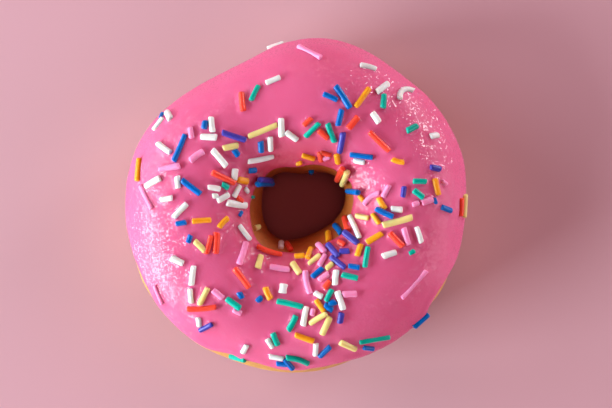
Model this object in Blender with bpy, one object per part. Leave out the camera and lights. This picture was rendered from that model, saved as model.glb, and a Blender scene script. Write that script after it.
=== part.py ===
"""Ring doughnut dipped in frosting: a fried dough ring and the frosting shell that caps it.

Metres, +Z up. The origin lies on the resting plane, under the middle of the outline.
Bearings run anticlockwise from +X, seen from above. An angle round the section starts at
the outermost line of the ring, passes the crown at 90 degrees and the hole at 180.
"""

from math import atan2, cos, hypot, pi, radians, sin, tau

import bpy
from mathutils import Vector

MM = 0.001

# The ring seen from above. A lobe is (waves round the ring, crest height, bearing of a crest).
RIM_RADIUS = 40.4 * MM
RIM_LOBES = (
    (2, 1.30 * MM, radians(24)),
    (3, 0.75 * MM, radians(62)),
    (4, 0.40 * MM, radians(79)),
    (5, 0.30 * MM, radians(14)),
    (6, 0.50 * MM, radians(26)),
)
HOLE_RADIUS = 9.5 * MM
HOLE_CENTRE = Vector((0.65 * MM, 1.15 * MM))
HOLE_LOBES = (
    (2, 1.35 * MM, radians(15)),
    (3, 0.75 * MM, radians(14)),
    (4, 0.30 * MM, radians(42)),
)

# The ring's section: a full crown over a flatter base, which has settled onto the surface.
WAIST_HEIGHT = 13.6 * MM
CROWN_RISE = 15.2 * MM
CROWN_LOBES = ((1, 0.5 * MM, radians(200)), (3, 0.45 * MM, radians(75)), (5, 0.25 * MM, radians(150)))
CROWN_FULLNESS = 2.15
BASE_DROP = 14.4 * MM
BASE_FULLNESS = 2.3

# The frosting shell. Both its edges stop above the waist, by an angle round the section.
FROSTING_THICKNESS = 1.4 * MM
CONTACT_GAP = 0.3 * MM
OUTER_EDGE_ANGLE = radians(13)
OUTER_EDGE_LOBES = ((5, radians(2.0), radians(40)), (8, radians(1.6), radians(100)), (13, radians(0.9), 0))
HOLE_EDGE_ANGLE = radians(41)
HOLE_EDGE_LOBES = ((1, radians(8), radians(262)), (3, radians(1.5), radians(200)), (7, radians(1.0), radians(20)))

# The dip fell short in places: the edge rises there by an angle, at a bearing and over a
# half width, and the bare dough bulges by a length for each radian of the rise.
SHORT_DIPS = (
    (radians(249), radians(27), radians(23)),
    (radians(287), radians(18), radians(15)),
    (radians(207), radians(13), radians(13)),
    (radians(331), radians(11), radians(15)),
)
BULGE_PER_RISE = 3.0 * MM

# Vertices round the ring, and round each section.
RING_STEPS = 72
DOUGH_STEPS = 30
FROSTING_TOP_STEPS = 16
FROSTING_UNDER_STEPS = 12
FROSTING_EDGE_STEPS = 3
# The slope of a section's outline is read over this angle to each side.
SLOPE_STEP = radians(1)

# The primitives' sizes only have to keep the section clear of the axis before it is shaped.
BLANK_RADIUS = 26 * MM
BLANK_SECTION = 14 * MM


def lobed(bearing, mean, lobes):
    return mean + sum(height * cos(waves * (bearing - crest)) for waves, height, crest in lobes)


def edge_rise(bearing):
    """How far the short dips lift the frosting's outer edge, as an angle round the section."""
    rise = 0
    for middle, half_width, angle in SHORT_DIPS:
        off = (bearing - middle + pi) % tau - pi
        rise += angle * 0.5 ** ((off / half_width) ** 2)
    return rise


def signed_power(value, exponent):
    return abs(value) ** exponent * (1 if value >= 0 else -1)


def section_at(bearing):
    """Plan position of the section's middle, its outward direction and its half width."""
    heading = Vector((cos(bearing), sin(bearing)))
    rim = heading * (lobed(bearing, RIM_RADIUS, RIM_LOBES) + BULGE_PER_RISE * edge_rise(bearing))
    hole = HOLE_CENTRE + heading * lobed(bearing, HOLE_RADIUS, HOLE_LOBES)
    return (rim + hole) / 2, (rim - hole).normalized(), (rim - hole).length / 2


def profile(bearing, around, half_width):
    """The section's outline as (outward, up) from its middle: two superellipse halves."""
    rise, fullness = BASE_DROP, BASE_FULLNESS
    if sin(around) > 0:
        rise, fullness = lobed(bearing, CROWN_RISE, CROWN_LOBES), CROWN_FULLNESS
    outward = half_width * signed_power(cos(around), 2 / fullness)
    return Vector((outward, rise * signed_power(sin(around), 2 / fullness)))


def skin_point(bearing, around, lift=0.0):
    """A point on the dough's skin, or a distance lift outside it."""
    middle, heading, half_width = section_at(bearing)
    at = profile(bearing, around, half_width)
    if lift:
        ahead = profile(bearing, around + SLOPE_STEP, half_width)
        behind = profile(bearing, around - SLOPE_STEP, half_width)
        along = ahead - behind
        at += Vector((along.y, -along.x)).normalized() * lift
    plan = middle + heading * at.x
    return Vector((plan.x, plan.y, max(WAIST_HEIGHT + at.y, 0.0)))


def frosting_edges(bearing):
    """Angles round the section of the shell's outer edge and of its edge in the hole."""
    outer = lobed(bearing, OUTER_EDGE_ANGLE, OUTER_EDGE_LOBES) + edge_rise(bearing)
    return outer, pi - lobed(bearing, HOLE_EDGE_ANGLE, HOLE_EDGE_LOBES)


def frosting_point(bearing, step):
    """The shell's own section: over the top, round the hole edge, back underneath, round the rim."""
    outer, inner = frosting_edges(bearing)
    half = FROSTING_THICKNESS / 2
    edge_reach = half / BLANK_SECTION
    if step < FROSTING_TOP_STEPS:
        around = outer + (inner - outer) * step / FROSTING_TOP_STEPS
        return skin_point(bearing, around, CONTACT_GAP + FROSTING_THICKNESS)
    step -= FROSTING_TOP_STEPS
    if step < FROSTING_EDGE_STEPS:
        turn = pi * step / FROSTING_EDGE_STEPS
        return skin_point(bearing, inner + edge_reach * sin(turn), CONTACT_GAP + half * (1 + cos(turn)))
    step -= FROSTING_EDGE_STEPS
    if step < FROSTING_UNDER_STEPS:
        around = inner + (outer - inner) * step / FROSTING_UNDER_STEPS
        return skin_point(bearing, around, CONTACT_GAP)
    turn = pi * (step - FROSTING_UNDER_STEPS) / FROSTING_EDGE_STEPS
    return skin_point(bearing, outer - edge_reach * sin(turn), CONTACT_GAP + half * (1 - cos(turn)))


def clear_scene():
    for old in list(bpy.data.objects):
        bpy.data.objects.remove(old, do_unlink=True)


def coated(name, colour, roughness):
    material = bpy.data.materials.new(name)
    material.use_nodes = True
    shader = material.node_tree.nodes["Principled BSDF"]
    shader.inputs["Base Color"].default_value = (*colour, 1)
    shader.inputs["Roughness"].default_value = roughness
    shader.inputs["Metallic"].default_value = 0
    return material


def ring_blank(name, section_steps, material, collection):
    """A plain torus with the ring's steps, whose vertices are then shaped."""
    bpy.ops.mesh.primitive_torus_add(
        major_segments=RING_STEPS,
        minor_segments=section_steps,
        major_radius=BLANK_RADIUS,
        minor_radius=BLANK_SECTION,
    )
    ring = bpy.context.object
    ring.name = ring.data.name = name
    ring.data.materials.append(material)
    for home in ring.users_collection:
        home.objects.unlink(ring)
    collection.objects.link(ring)
    return ring


def shape_ring(ring, point_at):
    """Moves each vertex to point_at(bearing, angle round the section)."""
    for vertex in ring.data.vertices:
        x, y, z = vertex.co
        around = atan2(z, hypot(x, y) - BLANK_RADIUS) % tau
        vertex.co = point_at(atan2(y, x), around)
    ring.data.shade_smooth()


def build_dough(collection):
    ring = ring_blank("dough", DOUGH_STEPS, coated("fried_dough", (0.80, 0.50, 0.20), 0.6), collection)
    shape_ring(ring, skin_point)
    return ring


def build_frosting(collection):
    steps = FROSTING_TOP_STEPS + FROSTING_UNDER_STEPS + 2 * FROSTING_EDGE_STEPS
    ring = ring_blank("frosting", steps, coated("pink_frosting", (0.89, 0.22, 0.44), 0.35), collection)
    shape_ring(ring, lambda bearing, around: frosting_point(bearing, round(around / tau * steps) % steps))
    return ring


def centre_over_origin(pieces):
    """Slides the pieces together so that the middle of their outline is over the origin."""
    points = [vertex.co for piece in pieces for vertex in piece.data.vertices]
    middle_x = (min(p.x for p in points) + max(p.x for p in points)) / 2
    middle_y = (min(p.y for p in points) + max(p.y for p in points)) / 2
    for point in points:
        point.x -= middle_x
        point.y -= middle_y


def main():
    clear_scene()
    collection = bpy.data.collections.new("frosted_doughnut")
    bpy.context.scene.collection.children.link(collection)
    centre_over_origin([build_dough(collection), build_frosting(collection)])


main()
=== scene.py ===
"""Looks of a frosted ring doughnut: fried crust, pink sugar frosting and coloured sugar strands.

Metres, +Z up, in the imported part's frame. Bearings run anticlockwise from +X, seen from above.
An angle round the section starts at the rim, passes the crown at 90 degrees and the hole at 180.
"""

import random
from functools import cache
from math import cos, exp, pi, radians, sin, sqrt, tau

import bmesh
import bpy
from mathutils import Matrix, Vector, geometry, noise
from mathutils.bvhtree import BVHTree
from mathutils.kdtree import KDTree


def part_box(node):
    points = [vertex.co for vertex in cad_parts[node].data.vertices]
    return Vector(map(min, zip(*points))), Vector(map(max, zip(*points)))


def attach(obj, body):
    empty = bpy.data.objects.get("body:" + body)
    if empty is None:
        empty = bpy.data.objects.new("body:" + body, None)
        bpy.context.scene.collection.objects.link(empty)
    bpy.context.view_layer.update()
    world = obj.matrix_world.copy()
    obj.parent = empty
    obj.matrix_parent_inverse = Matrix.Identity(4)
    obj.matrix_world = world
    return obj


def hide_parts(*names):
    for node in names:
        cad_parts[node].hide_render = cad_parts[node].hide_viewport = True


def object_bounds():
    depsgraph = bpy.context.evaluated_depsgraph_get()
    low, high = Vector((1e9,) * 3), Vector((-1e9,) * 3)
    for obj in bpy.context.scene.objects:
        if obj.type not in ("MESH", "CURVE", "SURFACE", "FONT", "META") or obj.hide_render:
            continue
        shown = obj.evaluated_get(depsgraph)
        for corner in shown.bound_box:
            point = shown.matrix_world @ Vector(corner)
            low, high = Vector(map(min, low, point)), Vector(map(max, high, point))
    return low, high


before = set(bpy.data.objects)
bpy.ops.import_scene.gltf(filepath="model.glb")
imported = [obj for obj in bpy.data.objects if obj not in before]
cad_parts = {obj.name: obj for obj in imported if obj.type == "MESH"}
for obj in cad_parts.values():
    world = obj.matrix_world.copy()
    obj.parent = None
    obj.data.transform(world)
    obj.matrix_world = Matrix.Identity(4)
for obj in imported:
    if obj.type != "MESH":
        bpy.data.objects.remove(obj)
cad_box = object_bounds()

MM = 0.001

# ---------------------------------------------------------------------------------------------
# Dough ring.
# A yeast ring, shaped by hand and fried on one face and then the other while it floats, so a
# pale band runs round its waist. It has settled onto its base, and blisters dot the crust.
# ---------------------------------------------------------------------------------------------

# A lobe is (waves round the ring, crest height, bearing of a crest).
RIM_RADIUS = 40.4 * MM
RIM_LOBES = (
    (2, 1.30 * MM, radians(24)),
    (3, 0.75 * MM, radians(62)),
    (4, 0.40 * MM, radians(79)),
    (5, 0.30 * MM, radians(14)),
    (6, 0.50 * MM, radians(26)),
)
HOLE_RADIUS = 9.5 * MM
HOLE_CENTRE = Vector((0.65 * MM, 1.15 * MM))
HOLE_LOBES = (
    (2, 1.35 * MM, radians(15)),
    (3, 0.75 * MM, radians(14)),
    (4, 0.30 * MM, radians(42)),
)
WAIST_HEIGHT = 13.6 * MM
CROWN_RISE = 15.2 * MM
CROWN_LOBES = ((1, 0.5 * MM, radians(200)), (3, 0.45 * MM, radians(75)), (5, 0.25 * MM, radians(150)))
CROWN_FULLNESS = 2.15
BASE_DROP = 14.4 * MM
BASE_FULLNESS = 2.3

# Where the dip fell short: bearing, half width, and the angle by which the frosting's edge rises.
SHORT_DIPS = (
    (radians(249), radians(27), radians(23)),
    (radians(287), radians(18), radians(15)),
    (radians(207), radians(13), radians(13)),
    (radians(331), radians(11), radians(15)),
)
# The bare dough bulges there, by a length for each radian of the rise.
BULGE_PER_RISE = 3.0 * MM
# A side that was pressed swells a little more: bearing, half width and swell.
PRESSED_SIDE = (radians(233), radians(14), 1.1 * MM)

# The mesh: rings of vertices round the hole, vertices in each ring, and the merge distance.
DOUGH_BEARINGS = 360
DOUGH_SECTION = 150
MERGE_DISTANCE = 0.002 * MM
# The slope of a section's outline is read over this angle to each side.
SLOPE_STEP = radians(1)
# The rim is read at this many bearings to find its middle.
RIM_READINGS = 720


def lobed(bearing, mean, lobes):
    """A mean value with waves round the ring on it."""
    return mean + sum(height * cos(waves * (bearing - crest)) for waves, height, crest in lobes)


def bell(off, half_width):
    """A smooth bell of height 1, by how far off its middle."""
    return exp(-((off / half_width) ** 2))


def turn_from(middle, bearing):
    """The turn from one bearing to another, at most half a circle either way."""
    return (bearing - middle + pi) % tau - pi


def edge_rise(bearing):
    """How far the short dips lift the frosting's outer edge, as an angle round the section."""
    rise = 0
    for middle, half_width, angle in SHORT_DIPS:
        rise += angle * 0.5 ** ((turn_from(middle, bearing) / half_width) ** 2)
    return rise


def rim_point(bearing):
    """The outermost line of the ring, in plan."""
    reach = lobed(bearing, RIM_RADIUS, RIM_LOBES) + BULGE_PER_RISE * edge_rise(bearing)
    middle, half_width, swell = PRESSED_SIDE
    reach += swell * bell(turn_from(middle, bearing), half_width)
    return Vector((cos(bearing), sin(bearing))) * reach


def settle_over_frame():
    """The slide in plan that brings the ring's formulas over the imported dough."""
    rim = [rim_point(tau * step / RIM_READINGS) for step in range(RIM_READINGS)]
    low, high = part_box("dough")
    middle_x = (min(p.x for p in rim) + max(p.x for p in rim)) / 2
    middle_y = (min(p.y for p in rim) + max(p.y for p in rim)) / 2
    return Vector(((low.x + high.x) / 2 - middle_x, (low.y + high.y) / 2 - middle_y))


FRAME_SLIDE = settle_over_frame()


@cache
def section_at(bearing):
    """Plan position of the section's middle, its outward direction, half width and crown rise."""
    rim = rim_point(bearing)
    hole = HOLE_CENTRE + Vector((cos(bearing), sin(bearing))) * lobed(bearing, HOLE_RADIUS, HOLE_LOBES)
    crown = lobed(bearing, CROWN_RISE, CROWN_LOBES)
    return (rim + hole) / 2 + FRAME_SLIDE, (rim - hole).normalized(), (rim - hole).length / 2, crown


def signed_power(value, exponent):
    return abs(value) ** exponent * (1 if value >= 0 else -1)


def profile(half_width, crown, around):
    """The section's outline as (outward, up) from its middle: two superellipse halves."""
    rise, fullness = (crown, CROWN_FULLNESS) if sin(around) > 0 else (BASE_DROP, BASE_FULLNESS)
    outward = half_width * signed_power(cos(around), 2 / fullness)
    return Vector((outward, rise * signed_power(sin(around), 2 / fullness)))


def skin_point(bearing, around, lift=0.0):
    """A point a distance lift outside the dough's skin."""
    middle, heading, half_width, crown = section_at(bearing)
    at = profile(half_width, crown, around)
    ahead = profile(half_width, crown, around + SLOPE_STEP)
    behind = profile(half_width, crown, around - SLOPE_STEP)
    along = ahead - behind
    at += Vector((along.y, -along.x)).normalized() * lift
    plan = middle + heading * at.x
    return Vector((plan.x, plan.y, max(WAIST_HEIGHT + at.y, 0.0)))


def rolled_ring(name, bearing_steps, section_steps, point_at):
    """A flat grid rolled round the section and round the hole, its meeting edges merged."""
    bm = bmesh.new()
    bmesh.ops.create_grid(bm, x_segments=bearing_steps, y_segments=section_steps, size=0.5)
    for vertex in bm.verts:
        bearing_share, section_share = vertex.co.x + 0.5, vertex.co.y + 0.5
        bearing = round(bearing_share * bearing_steps) % bearing_steps * tau / bearing_steps
        around = round(section_share * section_steps) % section_steps * tau / section_steps
        vertex.co = point_at(bearing, around)
    bmesh.ops.remove_doubles(bm, verts=bm.verts, dist=MERGE_DISTANCE)
    bmesh.ops.recalc_face_normals(bm, faces=bm.faces)
    mesh = bpy.data.meshes.new(name)
    bm.to_mesh(mesh)
    bm.free()
    mesh.shade_smooth()
    ring = bpy.data.objects.new(name, mesh)
    bpy.context.scene.collection.objects.link(ring)
    return ring


# Blisters lie on the base and low on the sides: their least and greatest angle round the section
# in degrees, radius in millimetres, and height as a share of the radius.
BLISTER_COUNT = 70
BLISTER_SEED = 11
BLISTER_DEGREES = (205, 352)
BLISTER_RADIUS = (1.0, 3.2)
BLISTER_RISE = (0.06, 0.13)


def blister_spots():
    """Blisters as (place on the skin, radius, height)."""
    chooser = random.Random(BLISTER_SEED)
    spots = []
    for _ in range(BLISTER_COUNT):
        bearing = chooser.uniform(0, tau)
        around = radians(chooser.uniform(*BLISTER_DEGREES))
        radius = chooser.uniform(*BLISTER_RADIUS) * MM
        spots.append((skin_point(bearing, around), radius, radius * chooser.uniform(*BLISTER_RISE)))
    return spots


BLISTERS = blister_spots()
# Slow lumps and finer puckers: waves in a metre, and height.
LUMP_WAVES = 70
LUMP_HEIGHT = 0.35 * MM
PUCKER_WAVES = 420
PUCKER_HEIGHT = 0.10 * MM
# The pale band stands a little proud, over a crease that the frying left below it.
BAND_TOP = radians(352)
BAND_BOTTOM = radians(322)
BAND_SWELL = 0.12 * MM
BAND_HALF_WIDTH = radians(9)
CREASE_DEPTH = 0.30 * MM
CREASE_HALF_WIDTH = radians(5)
# The base is flat where it rests, and the crust is calmer under the frosting.
FLAT_HEIGHT = 0.3 * MM
COVERED_OVER = 6 * MM
COVERED_CALM = 0.7


def crust_lift(at, around):
    """Relief of the fried skin: slow lumps, finer puckers, the band with its crease, and blisters."""
    slow = noise.noise(at * LUMP_WAVES) * LUMP_HEIGHT
    puckers = noise.fractal(at * PUCKER_WAVES, 0.8, 2.1, 4) * PUCKER_HEIGHT
    lift = slow + puckers
    lift -= CREASE_DEPTH * bell(around - BAND_BOTTOM, CREASE_HALF_WIDTH)
    lift += BAND_SWELL * bell(around - (BAND_TOP + BAND_BOTTOM) / 2, BAND_HALF_WIDTH)
    for spot, radius, height in BLISTERS:
        off = (at - spot).length
        if off < radius:
            lift += height * (1 - (off / radius) ** 2) ** 2
    return lift


def dough_point(bearing, around):
    at = skin_point(bearing, around)
    if at.z <= FLAT_HEIGHT:
        return at
    covered = min(1, max(0, (at.z - WAIST_HEIGHT) / COVERED_OVER))
    return skin_point(bearing, around, crust_lift(at, around) * (1 - COVERED_CALM * covered))


dough = rolled_ring("dough_ring", DOUGH_BEARINGS, DOUGH_SECTION, dough_point)


def node_maker(tree):
    """Makes nodes in a tree: add(type, socket values by name or place, node settings by name)."""

    def add(kind, values=None, **settings):
        node = tree.nodes.new(kind)
        for setting, value in settings.items():
            setattr(node, setting, value)
        for socket, value in (values or {}).items():
            if isinstance(value, bpy.types.NodeSocket):
                tree.links.new(value, node.inputs[socket])
            else:
                node.inputs[socket].default_value = value
        return node

    return add


def ramp(node, stops):
    """Gives a colour ramp its stops: (position, colour)."""
    elements = node.color_ramp.elements
    while len(elements) < len(stops):
        elements.new(0.5)
    for element, (position, colour) in zip(elements, stops):
        element.position = position
        element.color = (*colour, 1)
    return node


def new_material(name):
    material = bpy.data.materials.new(name)
    material.use_nodes = True
    return material


def hole_nearness_group():
    """How near the hole's axis a place is: its distance, and a share that grows from Far in to Near."""
    group = bpy.data.node_groups.new("hole nearness", "ShaderNodeTree")
    for name in ("Far", "Near"):
        group.interface.new_socket(name, in_out="INPUT", socket_type="NodeSocketFloat")
    for name in ("Distance", "Share"):
        group.interface.new_socket(name, in_out="OUTPUT", socket_type="NodeSocketFloat")
    add = node_maker(group)
    inputs = group.nodes.new("NodeGroupInput").outputs
    middle = (HOLE_CENTRE.x + FRAME_SLIDE.x, HOLE_CENTRE.y + FRAME_SLIDE.y, 0)
    place = add("ShaderNodeTexCoord").outputs["Object"]
    off = add("ShaderNodeVectorMath", {0: place, 1: middle}, operation="SUBTRACT").outputs[0]
    off = add("ShaderNodeVectorMath", {0: off, 1: (1, 1, 0)}, operation="MULTIPLY").outputs[0]
    distance = add("ShaderNodeVectorMath", {0: off}, operation="LENGTH").outputs["Value"]
    share = add(
        "ShaderNodeMapRange", {"Value": distance, "From Min": inputs["Far"], "From Max": inputs["Near"]}
    ).outputs["Result"]
    add("NodeGroupOutput", {"Distance": distance, "Share": share})
    return group


HOLE_NEARNESS = hole_nearness_group()

# Fried crust by height: browned base, pale band at the waist, gold above it.
CRUST_BY_HEIGHT = (
    (0.00, (0.30, 0.115, 0.030)),
    (0.16, (0.46, 0.200, 0.052)),
    (0.27, (0.66, 0.360, 0.110)),
    (0.34, (0.72, 0.490, 0.200)),
    (0.43, (0.80, 0.540, 0.180)),
    (0.49, (0.86, 0.500, 0.085)),
    (0.62, (0.66, 0.330, 0.080)),
    (1.00, (0.50, 0.210, 0.050)),
)
CRUST_TOP = 30 * MM
# Painted shade: the dark brown given to the crust inside the hole, and how far from the hole's axis it
# reaches.
HOLE_PAINTED_SHADE = (0.46, 0.088, 0.010, 1)
HOLE_SHADE_WITHIN = 22 * MM
FRECKLE_BROWN = (0.30, 0.12, 0.03, 1)


def crust_material():
    material = new_material("fried_crust")
    tree = material.node_tree
    add = node_maker(tree)
    place = add("ShaderNodeTexCoord").outputs["Object"]
    height = add("ShaderNodeSeparateXYZ", {0: place}).outputs["Z"]
    drift = add("ShaderNodeTexNoise", {"Vector": place, "Scale": 95, "Detail": 3}).outputs["Fac"]
    share = add("ShaderNodeMapRange", {"Value": height, "From Max": CRUST_TOP}).outputs["Result"]
    wander = add("ShaderNodeMath", {0: drift, 1: 0.5}, operation="SUBTRACT").outputs[0]
    share = add("ShaderNodeMath", {0: wander, 1: 0.16, 2: share}, operation="MULTIPLY_ADD").outputs[0]
    colour = ramp(add("ShaderNodeValToRGB", {"Fac": share}), CRUST_BY_HEIGHT).outputs["Color"]
    # Painted shade: inside the hole the crust is painted a darker, redder brown for the shade that falls
    # there.
    hole = add("ShaderNodeGroup", node_tree=HOLE_NEARNESS)
    hole.inputs["Far"].default_value = 15.5 * MM
    hole.inputs["Near"].default_value = 11.0 * MM
    hole_shade = add(
        "ShaderNodeMapRange", {"Value": hole.outputs["Share"], "To Min": 0.4, "To Max": 0.96}
    ).outputs["Result"]
    within = add(
        "ShaderNodeMath", {0: hole.outputs["Distance"], 1: HOLE_SHADE_WITHIN}, operation="LESS_THAN"
    ).outputs[0]
    hole_shade = add("ShaderNodeMath", {0: hole_shade, 1: within}, operation="MULTIPLY").outputs[0]
    colour = add(
        "ShaderNodeMix", {"Factor": hole_shade, "A": colour, "B": HOLE_PAINTED_SHADE}, data_type="RGBA"
    ).outputs["Result"]
    # Browner freckles where the skin was thin.
    freckle = add("ShaderNodeTexNoise", {"Vector": place, "Scale": 520, "Detail": 4, "Roughness": 0.65})
    freckle = add(
        "ShaderNodeMapRange",
        {"Value": freckle.outputs["Fac"], "From Min": 0.50, "From Max": 0.72, "To Max": 0.42},
    ).outputs["Result"]
    colour = add(
        "ShaderNodeMix", {"Factor": freckle, "A": colour, "B": FRECKLE_BROWN}, data_type="RGBA"
    ).outputs["Result"]
    grain = add("ShaderNodeTexNoise", {"Vector": place, "Scale": 1500, "Detail": 3, "Roughness": 0.6})
    pits = add("ShaderNodeTexVoronoi", {"Vector": place, "Scale": 620}).outputs["Distance"]
    pits = add("ShaderNodeMapRange", {"Value": pits, "From Max": 0.34}).outputs["Result"]
    relief = add(
        "ShaderNodeMath", {0: grain.outputs["Fac"], 1: 0.6, 2: pits}, operation="MULTIPLY_ADD"
    ).outputs[0]
    bump = add("ShaderNodeBump", {"Strength": 0.55, "Distance": 0.12 * MM, "Height": relief})
    sheen = add(
        "ShaderNodeMapRange",
        {"Value": drift, "From Min": 0.3, "From Max": 0.7, "To Min": 0.42, "To Max": 0.62},
    )
    shader = tree.nodes["Principled BSDF"]
    tree.links.new(colour, shader.inputs["Base Color"])
    tree.links.new(sheen.outputs["Result"], shader.inputs["Roughness"])
    tree.links.new(bump.outputs["Normal"], shader.inputs["Normal"])
    shader.inputs["Subsurface Weight"].default_value = 0.12
    shader.inputs["Subsurface Scale"].default_value = 2 * MM
    shader.inputs["Subsurface Radius"].default_value = (1.0, 0.5, 0.2)
    return material


dough.data.materials.append(crust_material())
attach(dough, "root")
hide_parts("dough")

# ---------------------------------------------------------------------------------------------
# Frosting.
# Warm pink sugar frosting, taken up by dipping the ring upside down: it covers the crown, ends
# in a soft bead outside and in the hole, and sets with a satin skin and a fine sugar grain.
# ---------------------------------------------------------------------------------------------

FROSTING_LIFT = 1.7 * MM
OUTER_EDGE_ANGLE = radians(13)
OUTER_EDGE_LOBES = ((5, radians(2.0), radians(40)), (8, radians(1.6), radians(100)), (13, radians(0.9), 0))
HOLE_EDGE_ANGLE = radians(37.5)
HOLE_EDGE_LOBES = (
    (1, radians(8), radians(262)),
    (1, radians(3.5), radians(50)),
    (3, radians(1.5), radians(200)),
    (7, radians(1.0), radians(20)),
)
# Where the set edge lies a little higher or lower than the shell: bearing, half width, angle.
EDGE_TRIMS = (
    (radians(205), radians(14), radians(4)),
    (radians(240), radians(10), radians(-2.5)),
    (radians(276), radians(16), radians(-4.5)),
)
# The drips and the finer ruffle of that edge: waves, and angle.
DRIP_WAVES = 5.5
DRIP_ANGLE = radians(2.2)
RUFFLE_WAVES = 16
RUFFLE_ANGLE = radians(0.8)
# The edge has a round nose, and a bead that swells a little way in from it.
NOSE_RADIUS = 1.3 * MM
BEAD_SWELL = 0.28 * MM
BEAD_PLACE = 2.0 * MM
BEAD_HALF_WIDTH = 1.3 * MM
# The set surface: slow swells and finer flow marks, as waves in a metre and height.
SWELL_WAVES = 60
SWELL_HEIGHT = 0.22 * MM
FLOW_WAVES = 190
FLOW_HEIGHT = 0.05 * MM
# The underside runs this far inside the crust.
SOAK = 0.12 * MM
# The mesh: rings of vertices round the hole, vertices in each ring, the share of these that is
# on top, and how far they crowd towards the edges.
FROSTING_BEARINGS = 500
FROSTING_SECTION = 190
TOP_SHARE = 0.9
EDGE_CROWDING = 0.05


@cache
def frosting_edges(bearing):
    """Angles round the section of the frosting's outer edge and of its edge in the hole."""
    outer = lobed(bearing, OUTER_EDGE_ANGLE, OUTER_EDGE_LOBES) + edge_rise(bearing)
    for middle, half_width, trim in EDGE_TRIMS:
        outer += trim * bell(turn_from(middle, bearing), half_width)
    outer += DRIP_ANGLE * noise.noise(Vector((cos(bearing), sin(bearing), 0)) * DRIP_WAVES)
    outer += RUFFLE_ANGLE * noise.noise(Vector((cos(bearing), sin(bearing), 3)) * RUFFLE_WAVES)
    return outer, pi - lobed(bearing, HOLE_EDGE_ANGLE, HOLE_EDGE_LOBES)


def frosting_depth(edge_distance):
    """Depth of the frosting by how far in from its nearer edge: round nose, bead, even coat."""
    inside = min(1, edge_distance / NOSE_RADIUS)
    nose = sqrt(max(0, 1 - (1 - inside) ** 2))
    return nose * (FROSTING_LIFT + BEAD_SWELL * bell(edge_distance - BEAD_PLACE, BEAD_HALF_WIDTH))


def frosting_point(bearing, around):
    """Out over the top from the rim's edge to the hole's, then back a little inside the crust."""
    outer, inner = frosting_edges(bearing)
    share = around / tau
    if share > TOP_SHARE:
        back = (share - TOP_SHARE) / (1 - TOP_SHARE)
        return skin_point(bearing, inner + (outer - inner) * back, -SOAK)
    over = share / TOP_SHARE
    over -= EDGE_CROWDING * sin(tau * over)
    angle = outer + (inner - outer) * over
    section_radius = section_at(bearing)[2]
    from_edge = min(angle - outer, inner - angle) * section_radius
    lift = frosting_depth(from_edge)
    if lift == 0:
        lift = -SOAK
    at = skin_point(bearing, angle)
    relief = noise.noise(at * SWELL_WAVES) * SWELL_HEIGHT
    relief += noise.noise(Vector((at.x, at.y, at.z * 3)) * FLOW_WAVES) * FLOW_HEIGHT
    return skin_point(bearing, angle, lift + relief * min(1, from_edge / BEAD_PLACE))


frosting = rolled_ring("pink_frosting", FROSTING_BEARINGS, FROSTING_SECTION, frosting_point)


def sugar_grain_group():
    """Fine set sugar: the height of its grains, more in patches, and those patches as a mask."""
    group = bpy.data.node_groups.new("sugar grain", "ShaderNodeTree")
    for name in ("Grain Scale", "Patch Scale"):
        group.interface.new_socket(name, in_out="INPUT", socket_type="NodeSocketFloat")
    for name in ("Height", "Patches"):
        group.interface.new_socket(name, in_out="OUTPUT", socket_type="NodeSocketFloat")
    add = node_maker(group)
    inputs = group.nodes.new("NodeGroupInput").outputs
    place = add("ShaderNodeTexCoord").outputs["Object"]
    grain = add("ShaderNodeTexVoronoi", {"Vector": place, "Scale": inputs["Grain Scale"]})
    patches = add("ShaderNodeTexNoise", {"Vector": place, "Scale": inputs["Patch Scale"], "Detail": 2})
    strength = add(
        "ShaderNodeMapRange",
        {"Value": patches.outputs["Fac"], "From Min": 0.38, "From Max": 0.60, "To Min": 0.2, "To Max": 1},
    ).outputs["Result"]
    height = add(
        "ShaderNodeMath", {0: grain.outputs["Distance"], 1: strength}, operation="MULTIPLY"
    ).outputs[0]
    add("NodeGroupOutput", {"Height": height, "Patches": patches.outputs["Fac"]})
    return group


SUGAR_GRAIN = sugar_grain_group()

# The frosting's deeper and paler patches, and the dark crimson of painted shade that it takes on towards
# the hole.
FROSTING_DEEP = (0.76, 0.118, 0.275)
FROSTING_PALE = (0.80, 0.142, 0.315)
HOLE_EDGE_SHADE = (0.58, 0.045, 0.080, 1)
# The glaze's flat sugar grains: grains in a metre, and how far each leans.
FLAKES_IN_METRE = 3500
FLAKE_LEAN = 0.54


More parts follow.
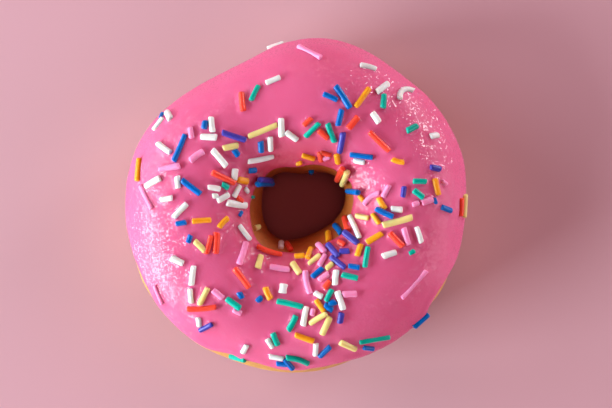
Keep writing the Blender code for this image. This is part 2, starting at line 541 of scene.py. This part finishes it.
def frosting_material():
    """Satin pink paste under a thin glaze of sugar grains that each catch the light at their own tilt."""
    material = new_material("pink_frosting")
    tree = material.node_tree
    add = node_maker(tree)
    grain = add("ShaderNodeGroup", node_tree=SUGAR_GRAIN)
    grain.inputs["Grain Scale"].default_value = 1500
    grain.inputs["Patch Scale"].default_value = 80
    colour = ramp(
        add("ShaderNodeValToRGB", {"Fac": grain.outputs["Patches"]}),
        ((0.30, FROSTING_DEEP), (0.70, FROSTING_PALE)),
    ).outputs["Color"]
    # Painted shade: towards the hole the frosting is mixed with a dark crimson, for the shade that falls
    # on its inner slope.
    hole = add("ShaderNodeGroup", node_tree=HOLE_NEARNESS)
    hole.inputs["Far"].default_value = 19.0 * MM
    hole.inputs["Near"].default_value = 11.5 * MM
    edge_shade_share = add("ShaderNodeMapRange", {"Value": hole.outputs["Share"], "To Max": 0.7}).outputs["Result"]
    colour = add(
        "ShaderNodeMix", {"Factor": edge_shade_share, "A": colour, "B": HOLE_EDGE_SHADE}, data_type="RGBA"
    ).outputs["Result"]
    height = grain.outputs["Height"]
    bump = add("ShaderNodeBump", {"Strength": 1.0, "Distance": 0.02 * MM, "Height": height})
    place = add("ShaderNodeTexCoord").outputs["Object"]
    flake = add("ShaderNodeTexVoronoi", {"Vector": place, "Scale": FLAKES_IN_METRE}).outputs["Color"]
    tilt = add("ShaderNodeVectorMath", {0: flake, 1: (0.5, 0.5, 0.5)}, operation="SUBTRACT").outputs[0]
    tilt = add("ShaderNodeVectorMath", {0: tilt, "Scale": FLAKE_LEAN}, operation="SCALE").outputs[0]
    smooth = add("ShaderNodeNewGeometry").outputs["Normal"]
    facet = add("ShaderNodeVectorMath", {0: smooth, 1: tilt}, operation="ADD").outputs[0]
    facet = add("ShaderNodeVectorMath", {0: facet}, operation="NORMALIZE").outputs[0]
    shader = tree.nodes["Principled BSDF"]
    tree.links.new(colour, shader.inputs["Base Color"])
    tree.links.new(bump.outputs["Normal"], shader.inputs["Normal"])
    tree.links.new(facet, shader.inputs["Coat Normal"])
    shader.inputs["Coat Weight"].default_value = 0.66
    shader.inputs["Coat Roughness"].default_value = 0.05
    shader.inputs["Roughness"].default_value = 0.42
    shader.inputs["Specular IOR Level"].default_value = 0.12
    shader.inputs["Subsurface Weight"].default_value = 0.3
    shader.inputs["Subsurface Scale"].default_value = 2 * MM
    shader.inputs["Subsurface Radius"].default_value = (1.0, 0.35, 0.45)
    return material


frosting.data.materials.append(frosting_material())
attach(frosting, "root")
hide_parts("frosting")

# ---------------------------------------------------------------------------------------------
# Sugar strands.
# Extruded sugar paste, broken to length and dyed in eight colours. They are shaken over the wet
# frosting, sink in by part of their thickness, and lie across each other where they drift together.
# ---------------------------------------------------------------------------------------------

# The blank strand that each is shaped from. Only its middle stretches, not its two ends. A crumb
# shorter than CRUMB_LENGTH is thinner too.
STRAND_SIDES = 8
STRAND_RADIUS = 0.85 * MM
STRAND_LENGTH = 4 * MM
END_LENGTH = 0.6 * MM
CRUMB_LENGTH = 2.1 * MM
# Its rings: place along it, and share of its radius.
STRAND_RINGS = (
    (-2.00 * MM, 0.60), (-1.87 * MM, 0.92), (-1.60 * MM, 1.0), (-0.80 * MM, 1.0), (0, 1.0),
    (0.80 * MM, 1.0), (1.60 * MM, 1.0), (1.87 * MM, 0.92), (2.00 * MM, 0.60),
)
# How a strand lies: the share of its thickness that is sunk, how much of the skin's hump under
# its middle it rises over, and the steepest skin it slopes with, as the rise of its normal.
SUNK_SHARE = 0.40
HUMP_SHARE = 0.8
STEEPEST = 0.45
# Strands this near are compared, at places along the new one, and touch when closer than this
# share of their radii. The new one is then raised by steps, and pressed back under the ceiling,
# with room for its swollen end.
NEAR_STRAND = 10 * MM
TOUCH_SHARE = 0.86
LINE_READINGS = 8
RAISE_STEPS = 7
RAISE_STEP = 0.11 * MM
SWOLLEN_END = 1.15
STRAND_CEILING = cad_box[1][2] + 0.85 * MM
# Rays look down from above the doughnut, and past its rim the skin is sought at this height.
LOOK_DOWN_FROM = 50 * MM
RIM_SKIN_HEIGHT = WAIST_HEIGHT + 4 * MM


def strand_blank():
    """One strand along X: an eight-sided rod grown ring by ring, with blunt rounded ends."""
    bm = bmesh.new()
    end_x, last_share = STRAND_RINGS[0]
    facing = Matrix.Translation((end_x, 0, 0)) @ Matrix.Rotation(radians(90), 4, "Y")
    radius = last_share * STRAND_RADIUS
    bmesh.ops.create_circle(bm, cap_ends=True, segments=STRAND_SIDES, radius=radius, matrix=facing)
    bm.faces.ensure_lookup_table()
    end_cap = cap = bm.faces[0]
    for x, share in STRAND_RINGS[1:]:
        grown = bmesh.ops.extrude_face_region(bm, geom=[cap])["geom"]
        if cap is not end_cap:
            bmesh.ops.delete(bm, geom=[cap], context="FACES_ONLY")
        cap = next(item for item in grown if isinstance(item, bmesh.types.BMFace))
        for corner in cap.verts:
            corner.co = (x, corner.co.y * share / last_share, corner.co.z * share / last_share)
        last_share = share
    bmesh.ops.recalc_face_normals(bm, faces=bm.faces)
    mesh = bpy.data.meshes.new("strand_blank")
    bm.to_mesh(mesh)
    bm.free()
    return mesh


STRAND_BLANK = strand_blank()
depsgraph = bpy.context.evaluated_depsgraph_get()
FROSTING_SKIN = BVHTree.FromObject(frosting, depsgraph)
DOUGH_SKIN = BVHTree.FromObject(dough, depsgraph)
laid = []


def skin_under(x, y):
    """The skin's place and normal under a plan position and True, or beside it and False past the rim."""
    best = None
    for skin in (FROSTING_SKIN, DOUGH_SKIN):
        at, normal, _, _ = skin.ray_cast(Vector((x, y, LOOK_DOWN_FROM)), Vector((0, 0, -1)))
        if at and (best is None or at.z > best[0].z):
            best = at, normal, True
    if best is None:
        at, normal, _, _ = FROSTING_SKIN.find_nearest(Vector((x, y, RIM_SKIN_HEIGHT)))
        best = at, normal, False
    return best


def gap_between(a, b, c, d):
    """About how far apart the lines a to b and c to d are at their closest."""
    gaps = []
    for step in range(LINE_READINGS + 1):
        point = a.lerp(b, step / LINE_READINGS)
        _, share = geometry.intersect_point_line(point, c, d)
        foot = c.lerp(d, min(1, max(0, share)))
        gaps.append((point - foot).length)
    return min(gaps)


def is_clear(a, b, radius):
    """Whether a strand from a to b runs into none that is already laid."""
    for c, d, other in laid:
        if (a + b - c - d).length / 2 > NEAR_STRAND:
            continue
        if gap_between(a, b, c, d) < TOUCH_SHARE * (radius + other):
            return False
    return True


def pressed(a, b, radius):
    """The strand's ends, lowered together so that it stays under the ceiling."""
    down = Vector((0, 0, max(0, max(a.z, b.z) + radius * SWOLLEN_END - STRAND_CEILING)))
    return a - down, b - down


def settle_strand(x, y, turn, length, radius):
    """End points and up direction of a strand laid at a plan position, raised over earlier strands."""
    reach = Vector((cos(turn), sin(turn), 0)) * (length / 2 - radius)
    middle, normal, on_top = skin_under(x, y)
    low_a, normal_a, a_on_top = skin_under(x - reach.x, y - reach.y)
    low_b, normal_b, b_on_top = skin_under(x + reach.x, y + reach.y)
    ride_height = radius * (1 - 2 * SUNK_SHARE)
    if on_top and a_on_top and b_on_top:
        up = (normal_a + normal_b + normal).normalized()
        ride_height += max(0, (middle - (low_a + low_b) / 2).dot(up)) * HUMP_SHARE
        a, b = low_a + up * ride_height, low_b + up * ride_height
    else:
        # Past the rim a strand lies along the slope that it is stuck to.
        up = normal
        off_skin = (Vector((x, y, middle.z)) - middle).dot(normal)
        reach.z = -(reach.x * normal.x + reach.y * normal.y) / max(normal.z, STEEPEST)
        a = middle + up * max(ride_height, off_skin) - reach
        b = a + reach * 2
    for step in range(RAISE_STEPS):
        raised = up * (step * RAISE_STEP)
        for end_a, end_b in ((a + raised, b), (a, b + raised), (a + raised, b + raised)):
            if is_clear(end_a, end_b, radius):
                return *pressed(end_a, end_b, radius), up
    return *pressed(a, b, radius), up


# How strands of one make differ, from least to greatest: share of the usual thickness, bend in
# degrees, flare of the ends, how flat, the slant of each cut, and taper from end to end.
THINNESS = (0.90, 1.08)
BEND_DEGREES = (-9, 9)
FLARE = (-0.03, 0.08)
FLATNESS = (0.92, 1.05)
CUT_SLANT = (-0.22, 0.22)
TAPER = (-0.05, 0.05)
# The shortest crumb, in radii, and the least bend that is bent at all.
SHORTEST = 1.6
LEAST_BEND = 1e-4


def shaped_place(place, length, radius, bend, flare, flatness, cuts, taper):
    """A vertex of the blank, moved to where it is on a strand of its own shape."""
    along, across, rise = place
    share = along / (STRAND_LENGTH / 2)
    thick = radius / STRAND_RADIUS * (1 + taper * share + flare * share ** 4)
    across, rise = across * thick * flatness, rise * thick / flatness
    straight = STRAND_LENGTH / 2 - END_LENGTH
    if abs(along) > straight:
        along += (length - STRAND_LENGTH) / 2 * (1 if along > 0 else -1)
        along += across * cuts[along > 0]
    else:
        along *= (length / 2 - END_LENGTH) / straight
    if abs(bend) < LEAST_BEND:
        return Vector((along, across, rise))
    curl = length / bend
    angle = along / curl
    sag = curl * (1 - cos(bend / 2)) / 2
    return Vector(((curl - across) * sin(angle), curl - (curl - across) * cos(angle) - sag, rise))


def lay_strands(name, colour, strands, seed):
    """One mesh of a colour's strands, each (x, y, turn, length), mm and degrees.

    Some go on with a bend, by how much their ends flare, and their share of the usual thickness.
    """
    chooser = random.Random(seed)
    bm = bmesh.new()
    for x, y, turn, length, *extra in strands:
        thinness = extra[2] if len(extra) > 2 else chooser.uniform(*THINNESS)
        radius = STRAND_RADIUS * thinness * min(1, length * MM / CRUMB_LENGTH)
        length = max(length * MM, SHORTEST * radius)
        bend = radians(extra[0] if extra else chooser.uniform(*BEND_DEGREES))
        flare = extra[1] if len(extra) > 1 else chooser.uniform(*FLARE)
        a, b, up = settle_strand(x * MM, y * MM, radians(turn), length, radius)
        laid.append((a, b, radius))
        along = (b - a).normalized()
        side = up.cross(along).normalized()
        turned = Matrix((along, side, along.cross(side))).transposed()
        flatness = chooser.uniform(*FLATNESS)
        cuts = [chooser.uniform(*CUT_SLANT) for _ in range(2)]
        taper = chooser.uniform(*TAPER)
        shape = ((b - a).length + 2 * radius, radius, bend, flare, flatness, cuts, taper)
        first = len(bm.verts)
        bm.from_mesh(STRAND_BLANK)
        bm.verts.ensure_lookup_table()
        for vertex in bm.verts[first:]:
            vertex.co = (a + b) / 2 + turned @ shaped_place(vertex.co, *shape)
    mesh = bpy.data.meshes.new(name)
    bm.to_mesh(mesh)
    bm.free()
    mesh.shade_smooth()
    piece = bpy.data.objects.new(name, mesh)
    bpy.context.scene.collection.objects.link(piece)
    rounded = piece.modifiers.new("rounded", "SUBSURF")
    rounded.levels = rounded.render_levels = 1
    piece.data.materials.append(strand_material(name, colour))
    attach(piece, "root")


def strand_material(name, colour):
    """Dyed sugar paste with a satin skin, whose dye is a little paler in some places than in others."""
    material = new_material(name)
    tree = material.node_tree
    add = node_maker(tree)
    grain = add("ShaderNodeGroup", node_tree=SUGAR_GRAIN)
    grain.inputs["Grain Scale"].default_value = 2600
    grain.inputs["Patch Scale"].default_value = 300
    pale = [min(1, channel * 1.06) for channel in colour]
    deep = [channel * 0.9 for channel in colour]
    dye = add("ShaderNodeValToRGB", {"Fac": grain.outputs["Patches"]})
    ramp(dye, ((0.35, deep), (0.65, pale)))
    height = grain.outputs["Height"]
    bump = add("ShaderNodeBump", {"Strength": 0.7, "Distance": 0.04 * MM, "Height": height})
    shader = tree.nodes["Principled BSDF"]
    tree.links.new(dye.outputs["Color"], shader.inputs["Base Color"])
    tree.links.new(bump.outputs["Normal"], shader.inputs["Normal"])
    shader.inputs["Roughness"].default_value = 0.28
    shader.inputs["Specular IOR Level"].default_value = 0.3
    shader.inputs["Subsurface Weight"].default_value = 0.7
    shader.inputs["Subsurface Scale"].default_value = 0.9 * MM
    shader.inputs["Subsurface Radius"].default_value = (1.0, 0.85, 0.75)
    return material


lay_strands("orange_strands", (1.0, 0.40, 0.016), (
    (16.0, 26.0, 54, 5.9), (3.1, 12.0, -17, 3.4), (0.8, 10.5, 20, 1.7), (10.1, 11.6, -80, 2.8),
    (24.6, 10.8, -15, 3.2, 35), (16.1, 1.8, -50, 2.0), (20.8, 0.6, -60, 3.4), (19.4, -3.1, -56, 3.2),
    (19.0, -7.7, 32, 4.5), (33.9, 4.6, -77, 4.3), (-38.1, 8.8, 86, 5.8, 0, 0, 1.12),
    (-22.5, -3.5, 4, 4.7), (-17.4, -4.0, 47, 3.4, -25), (-12.9, 6.2, -12, 2.9), (8.1, -7.7, -85, 3.1),
    (15.3, -10.7, 70, 3.2), (3.4, -11.6, 67, 3.2), (1.0, -12.2, 6, 2.7), (-6.7, -21.0, -66, 3.4, 25),
    (2.1, -31.7, -20, 5.0), (5.9, -23.9, -54, 3.7),
), 21)

lay_strands("white_strands", (0.82, 0.87, 0.85), (
    (-30.9, 21.9, -57, 3.2), (-33.5, 19.9, 52, 4.0), (-31.6, 13.9, -35, 4.5), (-20.1, 19.5, -83, 3.9),
    (-20.8, 16.5, -2, 4.1), (-18.3, 11.5, -50, 5.4), (-5.2, 40.2, 19, 4.4, 0, 0, 0.75),
    (-5.4, 30.2, 22, 3.9), (-3.4, 18.9, -88, 4.6), (-1.0, 16.9, -35, 3.7), (-6.1, 15.0, -88, 3.7),
    (-8.5, 11.4, 12, 6.5, 14), (17.5, 33.6, -14, 4.3, -25), (20.9, 28.5, 38, 4.1),
    (26.3, 27.4, 33, 5.6, -125), (19.2, 21.2, -55, 3.2), (33.5, 17.0, 10, 2.6), (15.4, 10.8, -12, 2.9),
    (24.3, -0.8, -5, 2.9), (14.4, -5.1, -67, 6.2), (29.6, -6.9, -72, 4.2), (22.5, -11.6, 18, 3.7),
    (-34.3, 5.7, 29, 4.6), (-28.2, 5.7, -86, 3.1), (-30.9, 1.7, 9, 3.2), (-27.6, -1.1, 46, 4.8),
    (-14.8, 7.6, 83, 3.0), (-19.6, 4.3, -9, 3.2), (-14.3, 3.6, 63, 3.4), (-19.3, 2.4, 0, 1.6),
    (-17.5, 2.0, 30, 3.4), (-14.3, 0.4, -9, 5.1), (-12.0, 3.8, -50, 1.7), (-12.4, -6.5, -53, 4.7),
    (-28.3, -13.1, -25, 3.5), (-24.6, -16.6, 83, 4.9), (-25.1, -21.5, -86, 3.7),
    (-23.3, -27.9, -85, 2.5), (-12.3, -34.5, 62, 2.7), (-3.7, -9.8, 88, 2.4), (9.6, -17.2, 84, 3.8),
    (-3.0, -19.9, 80, 2.4, 0, 0.3, 1.15), (5.5, -21.3, -30, 2.4), (10.7, -22.6, -72, 4.9),
    (2.2, -26.4, 79, 4.9), (-6.2, -33.0, -56, 2.8), (4.8, -34.5, 87, 3.4), (-4.7, -36.6, -10, 3.6),
), 22)

lay_strands("red_strands", (0.97, 0.078, 0.045), (
    (-12.8, 25.0, -84, 4.8), (2.9, 20.2, 42, 2.8), (6.7, 17.3, -38, 3.2), (13.8, 20.0, 50, 3.9),
    (20.1, 15.5, -44, 6.8), (6.0, 12.1, -80, 2.8), (7.2, 12.8, -15, 2.8), (11.4, 8.6, 66, 4.2),
    (-17.4, 6.8, -26, 6.3), (-13.7, 1.5, -40, 2.0), (-19.0, -8.9, 87, 5.2), (-20.8, -9.3, 75, 4.7),
    (40.2, -0.3, 88, 4.6), (12.4, -4.5, -78, 4.3), (24.2, -8.1, -46, 4.8), (11.1, -9.0, -30, 2.2),
    (-1.7, -10.2, -58, 3.0), (-6.5, -11.0, -19, 6.6, 20), (-22.5, -24.5, 5, 7.2, 12),
    (-12.9, -17.3, -53, 6.1), (7.6, -18.9, 50, 2.4),
), 23)

lay_strands("pink_strands", (1.0, 0.32, 0.58), (
    (3.4, 37.2, -30, 6.6, 3, 0.45, 0.8), (-25.1, 17.5, -80, 2.9), (-23.7, 12.0, 36, 4.2, -25),
    (-30.2, 9.2, 9, 5.4), (-36.0, 2.1, -61, 6.6, 2, 0, 0.85), (7.4, 11.8, 20, 2.0),
    (18.4, 1.9, 38, 5.0, -50), (21.8, 3.6, 62, 3.4), (35.8, 5.6, -40, 1.8), (28.8, 0.5, 20, 1.9),
    (31.6, 1.2, 20, 3.1), (26.5, -7.3, -73, 4.4), (28.5, -18.9, 48, 9.0, 4, 0.5, 0.68),
    (-12.8, -11.4, 73, 5.8), (6.3, -10.4, -48, 3.2), (6.5, -13.1, 60, 3.4), (-3.9, -15.1, -9, 4.9),
    (2.8, -18.4, -78, 5.8, 24), (6.8, -17.1, 34, 3.0), (13.0, -21.1, 3, 3.5), (4.1, -25.4, 80, 1.9),
    (-18.6, -21.1, -40, 3.3), (-33.1, -21.4, -68, 5.2, 2, 0, 0.85), (-14.0, -25.3, -25, 2.4),
), 24)

lay_strands("blue_strands", (0.0, 0.15, 0.53), (
    (-27.8, 13.9, 67, 7.2), (-21.8, 19.4, 80, 2.2), (-14.3, 12.8, -55, 2.0), (-8.4, 14.3, -88, 2.9),
    (8.3, 26.1, -24, 3.9), (11.3, 26.1, -57, 6.6), (10.6, 21.2, 77, 4.2), (15.9, 12.1, -8, 5.7),
    (14.8, 3.5, -9, 3.6), (3.8, 8.6, 90, 1.8), (-10.6, 8.7, 10, 2.2), (-8.8, 6.1, 5, 4.6),
    (-25.0, 4.5, -37, 5.8), (-27.4, -4.1, 10, 2.7), (-25.4, -7.9, 70, 2.1), (-13.4, -1.9, 60, 1.6),
    (33.5, 1.2, -60, 1.6), (36.4, -0.7, -20, 3.2), (21.5, -1.7, -26, 4.8), (10.5, -5.9, -53, 3.5),
    (14.0, -14.6, -9, 2.9), (5.3, -16.1, 41, 3.6), (-8.7, -22.4, 40, 1.9, 0, -0.2, 1.1),
    (-13.2, -21.4, -60, 1.9), (8.8, -23.2, 20, 2.0), (7.9, -24.3, -35, 2.6), (7.0, -35.1, 45, 4.0),
    (-3.3, -38.3, -6, 3.0), (-1.7, -38.3, -52, 3.7), (17.6, -34.5, -12, 3.1), (30.6, -28.0, 42, 5.0),
    (-32.8, 22.0, 70, 2.0),
), 25)

lay_strands("yellow_strands", (0.84, 0.72, 0.28), (
    (-15.6, 14.2, 12, 3.9), (-7.9, 18.1, 22, 7.7), (12.8, 7.3, 71, 4.2), (41.3, 0.0, 88, 5.8),
    (16.2, -2.7, -11, 3.5), (24.5, -3.7, 15, 7.5), (-22.9, -9.6, -44, 3.7), (-9.7, -5.4, 20, 2.0),
    (-8.8, -13.5, 76, 3.5), (4.6, -13.0, 36, 3.8), (0.1, -15.1, -54, 3.6), (8.2, -14.5, 40, 2.4),
    (-22.0, -21.6, 63, 4.8), (5.4, -26.9, 33, 5.0), (7.3, -28.7, 66, 5.0), (12.6, -33.7, -27, 4.8),
), 26)

lay_strands("indigo_strands", (0.066, 0.056, 0.42), (
    (-14.8, 16.7, -18, 6.2), (11.0, 15.3, 80, 5.2), (-8.3, 7.0, -4, 3.9), (25.9, 3.4, 83, 2.8),
    (33.6, 9.1, -10, 3.0), (13.4, -7.8, -38, 4.6), (9.0, -10.8, -50, 4.4), (10.2, -13.6, -38, 4.6),
    (11.8, -11.0, 5, 2.6), (-21.6, -29.2, 28, 4.0), (10.8, -26.8, 80, 2.8),
), 27)

lay_strands("green_strands", (0.0, 0.45, 0.35), (
    (-9.8, 27.1, 64, 4.3), (4.0, 18.3, 44, 4.9), (8.5, 17.6, -69, 5.0), (21.1, 25.2, 85, 3.7),
    (28.0, 18.7, 27, 3.3), (29.8, 5.9, -2, 3.5), (29.5, 2.9, -38, 3.2), (-17.0, 4.8, -30, 2.0),
    (-10.7, 2.2, 0, 1.3), (27.9, -11.1, 30, 1.7), (17.0, -12.3, 80, 5.2), (13.0, -16.9, -13, 4.1),
    (8.0, -21.4, 62, 3.4), (-1.4, -23.5, -13, 6.5), (-0.8, -28.1, 62, 4.3, 14), (-4.9, -32.0, -68, 3.5),
    (-14.9, -23.3, -34, 4.2), (0.5, -37.2, -18, 6.0, -42), (-14.2, -37.1, -8, 4.6),
    (19.1, -32.3, 8, 7.8),
), 28)

# The frosting's climb up a strand: its height at the strand, how fast it falls away, how far it is
# looked for, and how closely a strand's length is read.
CLIMB_HEIGHT = 0.26 * MM
CLIMB_FALL = 0.45 * MM
CLIMB_REACH = 1.3 * MM
CLIMB_STEP = 0.4 * MM


def wet_frosting():
    """The frosting climbs a little up each strand that lies in it."""
    vertices = frosting.data.vertices
    normals = [vertex.normal.copy() for vertex in vertices]
    tree = KDTree(len(vertices))
    for vertex in vertices:
        tree.insert(vertex.co, vertex.index)
    tree.balance()
    climb = {}
    for a, b, radius in laid:
        steps = max(2, round((b - a).length / CLIMB_STEP))
        for step in range(steps + 1):
            point = a.lerp(b, step / steps)
            for _, index, off in tree.find_range(point, radius + CLIMB_REACH):
                rise = CLIMB_HEIGHT * exp(-max(0, off - radius) / CLIMB_FALL)
                climb[index] = max(climb.get(index, 0), rise)
    for index, rise in climb.items():
        vertices[index].co += normals[index] * rise


wet_frosting()

# ---------------------------------------------------------------------------------------------
# Table, light and camera.
# A plain pink paper top, lit by a broad soft window low on the left and by what the room sends
# back from its other sides, mostly pinker. The camera looks straight down on the doughnut.
# ---------------------------------------------------------------------------------------------

TABLE_HALF_WIDTH = 1.5
LAMP_DISTANCE = 0.9
CAMERA_PLACE = (2.49 * MM, 0.47 * MM, 377 * MM)


def paper_material():
    """Matt pink paper with a fine tooth."""
    material = new_material("pink_paper")
    tree = material.node_tree
    add = node_maker(tree)
    place = add("ShaderNodeTexCoord").outputs["Object"]
    fibre = add("ShaderNodeTexNoise", {"Vector": place, "Scale": 1200, "Detail": 3}).outputs["Fac"]
    bump = add("ShaderNodeBump", {"Strength": 0.08, "Distance": 0.1 * MM, "Height": fibre})
    shader = tree.nodes["Principled BSDF"]
    tree.links.new(bump.outputs["Normal"], shader.inputs["Normal"])
    shader.inputs["Base Color"].default_value = (0.63, 0.356, 0.420, 1)
    shader.inputs["Roughness"].default_value = 0.85
    shader.inputs["Specular IOR Level"].default_value = 0.2
    return material


def table_top():
    bm = bmesh.new()
    bmesh.ops.create_grid(bm, x_segments=1, y_segments=1, size=TABLE_HALF_WIDTH)
    mesh = bpy.data.meshes.new("table_top")
    bm.to_mesh(mesh)
    bm.free()
    mesh.materials.append(paper_material())
    table = bpy.data.objects.new("table_top", mesh)
    bpy.context.scene.collection.objects.link(table)


table_top()


def soft_lamp(name, bearing, elevation, size, power, colour, mirrored=True):
    """A square soft box that faces the doughnut, and shows in its gloss if mirrored."""
    lamp = bpy.data.lights.new(name, "AREA")
    lamp.shape = "SQUARE"
    lamp.size = size
    lamp.energy = power
    lamp.color = colour
    holder = bpy.data.objects.new(name, lamp)
    holder.visible_glossy = mirrored
    away = Vector((
        cos(radians(bearing)) * cos(radians(elevation)),
        sin(radians(bearing)) * cos(radians(elevation)),
        sin(radians(elevation)),
    ))
    holder.location = away * LAMP_DISTANCE + Vector((0, 0, WAIST_HEIGHT))
    holder.rotation_euler = away.to_track_quat("Z", "Y").to_euler()
    bpy.context.scene.collection.objects.link(holder)


soft_lamp("window", 200, 18, 0.45, 14.0, (0.86, 1.0, 1.0))
soft_lamp("window_top", 160, 19, 0.45, 5.0, (0.86, 0.94, 1.0))
soft_lamp("far_bounce", 38, 11, 0.24, 3.8, (0.86, 1.0, 0.98))
soft_lamp("right_bounce", 355, 20, 0.6, 3.5, (1.0, 0.80, 0.86))
soft_lamp("back_bounce", 90, 20, 0.45, 2.5, (1.0, 0.50, 0.52))
soft_lamp("front_bounce", 270, 22, 0.6, 2.0, (1.0, 0.72, 0.72))
soft_lamp("ceiling_bounce", 0, 88, 0.3, 0.65, (1.0, 0.22, 0.18), False)

world = bpy.data.worlds.new("studio")
world.use_nodes = True
world.node_tree.nodes["Background"].inputs["Color"].default_value = (1.0, 0.93, 0.95, 1)
world.node_tree.nodes["Background"].inputs["Strength"].default_value = 0.01
bpy.context.scene.world = world
bpy.context.scene.view_settings.view_transform = "Standard"

camera_lens = bpy.data.cameras.new("camera")
camera_lens.lens = 85
camera_lens.sensor_width = 36
camera_lens.clip_start = 0.01
camera = bpy.data.objects.new("camera", camera_lens)
camera.location = CAMERA_PLACE
bpy.context.scene.collection.objects.link(camera)
bpy.context.scene.camera = camera
